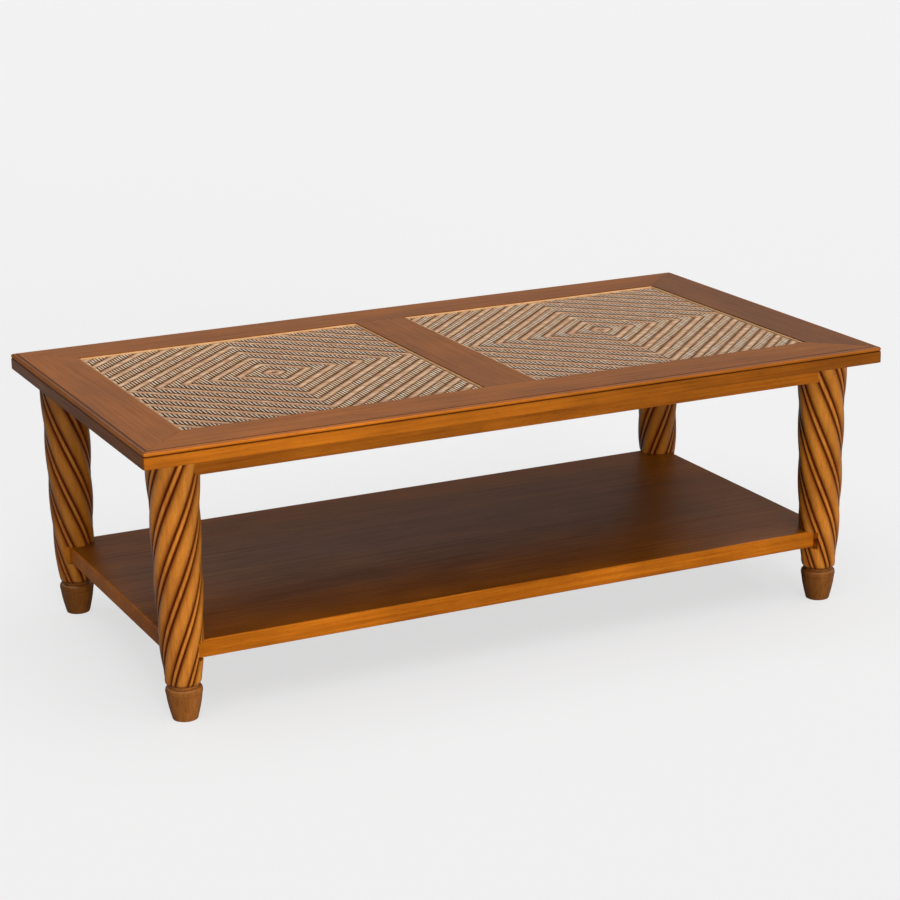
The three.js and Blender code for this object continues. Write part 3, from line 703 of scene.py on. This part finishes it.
# Brown stain under a duller lacquer: darker and browner than the legs, with a softer shine
foot_wood = stained_wood(
    "dull_turned_wood", 2, light="#ad6a2e", dark="#784417", flecks="#3f200d", glaze_and_shade="#3a1a0c",
    roughness=0.42, coat=0.2,
)
for corner in corners:
    foot_low, foot_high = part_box(f"{corner}_foot")
    axis = (foot_low + foot_high) / 2
    foot = bmesh.new()
    neck_top = foot_high.z - FOOT_TOP_GAP
    points = FOOT_PROFILE + ((LEG_NECK_RADIUS, neck_top), (0, neck_top))
    chain = [foot.verts.new((radius, 0, height)) for radius, height in points]
    line = [foot.edges.new(pair) for pair in zip(chain, chain[1:])]
    bmesh.ops.spin(
        foot, geom=chain + line, angle=2 * math.pi, steps=FOOT_SIDES, axis=(0, 0, 1),
        cent=(0, 0, 0), use_merge=True,
    )
    bmesh.ops.remove_doubles(foot, verts=foot.verts, dist=1e-6)
    painted_light_layer = foot.verts.layers.float.new("painted_light")
    for vert in foot.verts:
        vert[painted_light_layer] = FOOT_PAINTED_LIGHT[corner]
    bmesh.ops.translate(foot, verts=foot.verts, vec=(axis.x, axis.y, 0))
    bmesh.ops.recalc_face_normals(foot, faces=foot.faces)
    new_piece(f"{corner}_turned_foot", foot, foot_wood, [f"{corner}_foot"], sharp=30)


# Aprons
# Slim rails under the edge of the top, with eased arrises. Their ends are let into the heads
# of the legs. They are modelled without the screws' counterbores, which face the floor.
APRON_EASE = 0.0015
APRON_EASE_STEPS = 3

for quarter, side in enumerate(("front", "right", "back", "left")):
    low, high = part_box(f"{side}_apron")
    apron = bmesh.new()
    bmesh.ops.create_cube(apron, size=1)
    bmesh.ops.scale(apron, verts=apron.verts, vec=high - low)
    bmesh.ops.translate(apron, verts=apron.verts, vec=(low + high) / 2)
    wood = honey_wood[quarter % 2]
    obj = new_piece(f"{side}_slim_apron", apron, wood, [f"{side}_apron"])
    soften(obj, APRON_EASE, APRON_EASE_STEPS)


# Screws
# Zinc-plated steel wood screws, driven up through the aprons into the top, with their heads
# sunk in counterbores.
DULL_SPECKS_PER_METRE = 900.0

# Zinc plating: light grey metal with fine duller specks in what it mirrors
material, tree, shader = new_material("zinc_plated_steel")
place = add(tree, "TexCoord").outputs["Object"]
dulled = add(tree, "TexNoise", Vector=place, Scale=DULL_SPECKS_PER_METRE, Detail=2.0).outputs["Fac"]
rough = add(tree, "MapRange", _0=dulled, To_Min=0.25, To_Max=0.5).outputs[0]
body = add(tree, "Mix", {"data_type": "RGBA"}, _0=dulled, _6=srgb("#9c9a92"), _7=srgb("#d4d2cb"))
tree.links.new(body.outputs[2], shader.inputs["Base Color"])
tree.links.new(rough, shader.inputs["Roughness"])
shader.inputs["Metallic"].default_value = 1.0
zinc = material
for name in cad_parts:
    if "_apron_screw_" in name:
        finish_cad(name, zinc)


# Shelf
# One wide board of the same honey-stained wood with rounded edges, cut round at each corner
# to enter the notch in the leg.
SHELF_EDGE = 0.003
SHELF_EDGE_STEPS = 4

# Painted light and shade on the shelf's top and edges: how much paler at the middle, and per metre to
# the right
SHELF_TOP_PAINTED_LIGHT = (-0.24, -0.2)
SHELF_EDGE_PAINTED_LIGHT = (0.4, -0.3)

foot_low, foot_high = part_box("back_right_foot")
leg_axis = (foot_low + foot_high) / 2
notch_x = leg_axis.x - NOTCH_END_OFFSET - FIT_GAP
notch_y = leg_axis.y - NOTCH_SIDE_OFFSET - FIT_GAP
quarter_outline = [(shelf_high.x, notch_y), (notch_x, notch_y), (notch_x, shelf_high.y)]
outline = []
for side_x, side_y in ((1, 1), (-1, 1), (-1, -1), (1, -1)):
    part = [(side_x * x, side_y * y) for x, y in quarter_outline]
    outline += part if side_x * side_y > 0 else part[::-1]
shelf = bmesh.new()
rim = [shelf.verts.new((x, y, shelf_low.z)) for x, y in outline]
board = bmesh.ops.contextual_create(shelf, geom=rim)["faces"]
pulled = bmesh.ops.extrude_face_region(shelf, geom=board)["geom"]
upper = [item for item in pulled if isinstance(item, bmesh.types.BMVert)]
bmesh.ops.translate(shelf, verts=upper, vec=(0, 0, shelf_high.z - shelf_low.z))
bmesh.ops.recalc_face_normals(shelf, faces=shelf.faces)
level_edges = [edge for edge in shelf.edges if abs(edge.verts[0].co.z - edge.verts[1].co.z) < NEAR]
bmesh.ops.bevel(
    shelf, geom=level_edges, offset=SHELF_EDGE, segments=SHELF_EDGE_STEPS, profile=0.5,
    affect="EDGES", material=-1,
)
# Painted light and shade, changing from left to right
painted_light_layer = shelf.verts.layers.float.new("painted_light")
for vert in shelf.verts:
    on_top = vert.co.z > shelf_high.z - NEAR
    middle, per_metre = SHELF_TOP_PAINTED_LIGHT if on_top else SHELF_EDGE_PAINTED_LIGHT
    vert[painted_light_layer] = middle + per_metre * vert.co.x

# The same honey stain under one thin coat: its sheen is weaker than that of the top
shelf_wood = stained_wood(
    "thinly_lacquered_honey_wood", 0, roughness=0.36, coat=0.0, shine=0.15, **HONEY,
)
new_piece("low_shelf", shelf, shelf_wood, ["shelf"])


# Floor
# A pale studio floor. It is a little brighter to the camera than to the table, so that it
# reads as the photograph's plain white ground and still takes the table's soft shadow.
FLOOR_HALF_WIDTH = 30

material, tree, shader = new_material("pale_floor")
shader.inputs["Base Color"].default_value = srgb("#969696")
shader.inputs["Roughness"].default_value = 0.9
shader.inputs["Specular IOR Level"].default_value = 0.1
glow = add(tree, "Emission", Color=srgb("#f1f1f1"), Strength=0.735)
seen = add(tree, "LightPath").outputs["Is Camera Ray"]
lifted = add(tree, "AddShader", _0=shader.outputs[0], _1=glow.outputs[0])
chosen = add(tree, "MixShader", _0=seen, _1=shader.outputs[0], _2=lifted.outputs[0])
tree.links.new(chosen.outputs[0], tree.nodes["Material Output"].inputs["Surface"])
ground = bmesh.new()
bmesh.ops.create_grid(ground, x_segments=1, y_segments=1, size=FLOOR_HALF_WIDTH)
mesh = bpy.data.meshes.new("floor")
ground.to_mesh(mesh)
ground.free()
mesh.materials.append(material)
floor = bpy.data.objects.new("floor", mesh)
bpy.context.collection.objects.link(floor)


# Light
# A broad low key beside the camera that the lacquer doesn't mirror, a wide soft light
# overhead and a weak strip at each end. The camera sees a pale backdrop, and the lacquer
# mirrors the bright room above it.
world = bpy.data.worlds.new("studio")
bpy.context.scene.world = world
world.use_nodes = True
tree = world.node_tree
dim = tree.nodes["Background"]
dim.inputs["Color"].default_value = srgb("#ffffff")
path = add(tree, "LightPath")
rising = add(tree, "SeparateXYZ", _0=add(tree, "TexCoord").outputs["Generated"]).outputs["Z"]
above = add(tree, "MapRange", _0=rising, From_Min=0.34, From_Max=0.55, To_Min=0.08, To_Max=1.7)
glossy, seen = path.outputs["Is Glossy Ray"], path.outputs["Is Camera Ray"]
strength = add(tree, "MapRange", _0=glossy, To_Min=0.044, To_Max=above.outputs[0]).outputs[0]
tree.links.new(strength, dim.inputs["Strength"])
backdrop = add(tree, "Background", Color=srgb("#f1f1f1"), Strength=1.0)
chosen = add(tree, "MixShader", _0=seen, _1=dim.outputs[0], _2=backdrop.outputs[0])
tree.links.new(chosen.outputs[0], tree.nodes["World Output"].inputs["Surface"])


def sun(name, azimuth, elevation, strength, spread, mirrored=True):
    """A far soft lamp. Azimuth is counted from the front, positive to the right."""
    lamp = bpy.data.lights.new(name, "SUN")
    lamp.energy = strength
    lamp.angle = math.radians(spread)
    obj = bpy.data.objects.new(name, lamp)
    obj.visible_glossy = mirrored
    bpy.context.collection.objects.link(obj)
    a, e = math.radians(azimuth), math.radians(elevation)
    away = Vector((math.sin(a) * math.cos(e), -math.cos(a) * math.cos(e), math.sin(e)))
    obj.matrix_world = away.to_track_quat("Z", "Y").to_matrix().to_4x4()


sun("key", azimuth=-5, elevation=5, strength=3.4, spread=20, mirrored=False)
sun("overhead", azimuth=-10, elevation=78, strength=1.8, spread=80)
sun("right_strip", azimuth=92, elevation=10, strength=0.11, spread=16)
sun("left_strip", azimuth=-84, elevation=10, strength=0.025, spread=16)


# Camera
# It stands to the left of the table's front and looks a little down at it, as in the
# photograph, with a long lens.
CAMERA_PLACE = Vector((-1.58166, -3.39525, 1.34034))
CAMERA_AZIMUTH = math.radians(25.12)
CAMERA_ELEVATION = math.radians(16.13)
CAMERA_ROLL = math.radians(-1.21)
CAMERA_LENS = 98.75

camera = bpy.data.cameras.new("camera")
camera.lens = CAMERA_LENS
camera.sensor_width = 36
camera.clip_end = 100
camera_object = bpy.data.objects.new("camera", camera)
bpy.context.collection.objects.link(camera_object)
ahead = Vector((
    math.sin(CAMERA_AZIMUTH) * math.cos(CAMERA_ELEVATION),
    math.cos(CAMERA_AZIMUTH) * math.cos(CAMERA_ELEVATION),
    -math.sin(CAMERA_ELEVATION),
))
right = ahead.cross(Vector((0, 0, 1))).normalized()
up = right.cross(ahead)
rolled_right = math.cos(CAMERA_ROLL) * right + math.sin(CAMERA_ROLL) * up
rolled_up = math.cos(CAMERA_ROLL) * up - math.sin(CAMERA_ROLL) * right
turn = Matrix((rolled_right, rolled_up, -ahead)).transposed()
camera_object.matrix_world = Matrix.Translation(CAMERA_PLACE) @ turn.to_4x4()
bpy.context.scene.camera = camera_object
bpy.context.scene.view_settings.view_transform = "Standard"
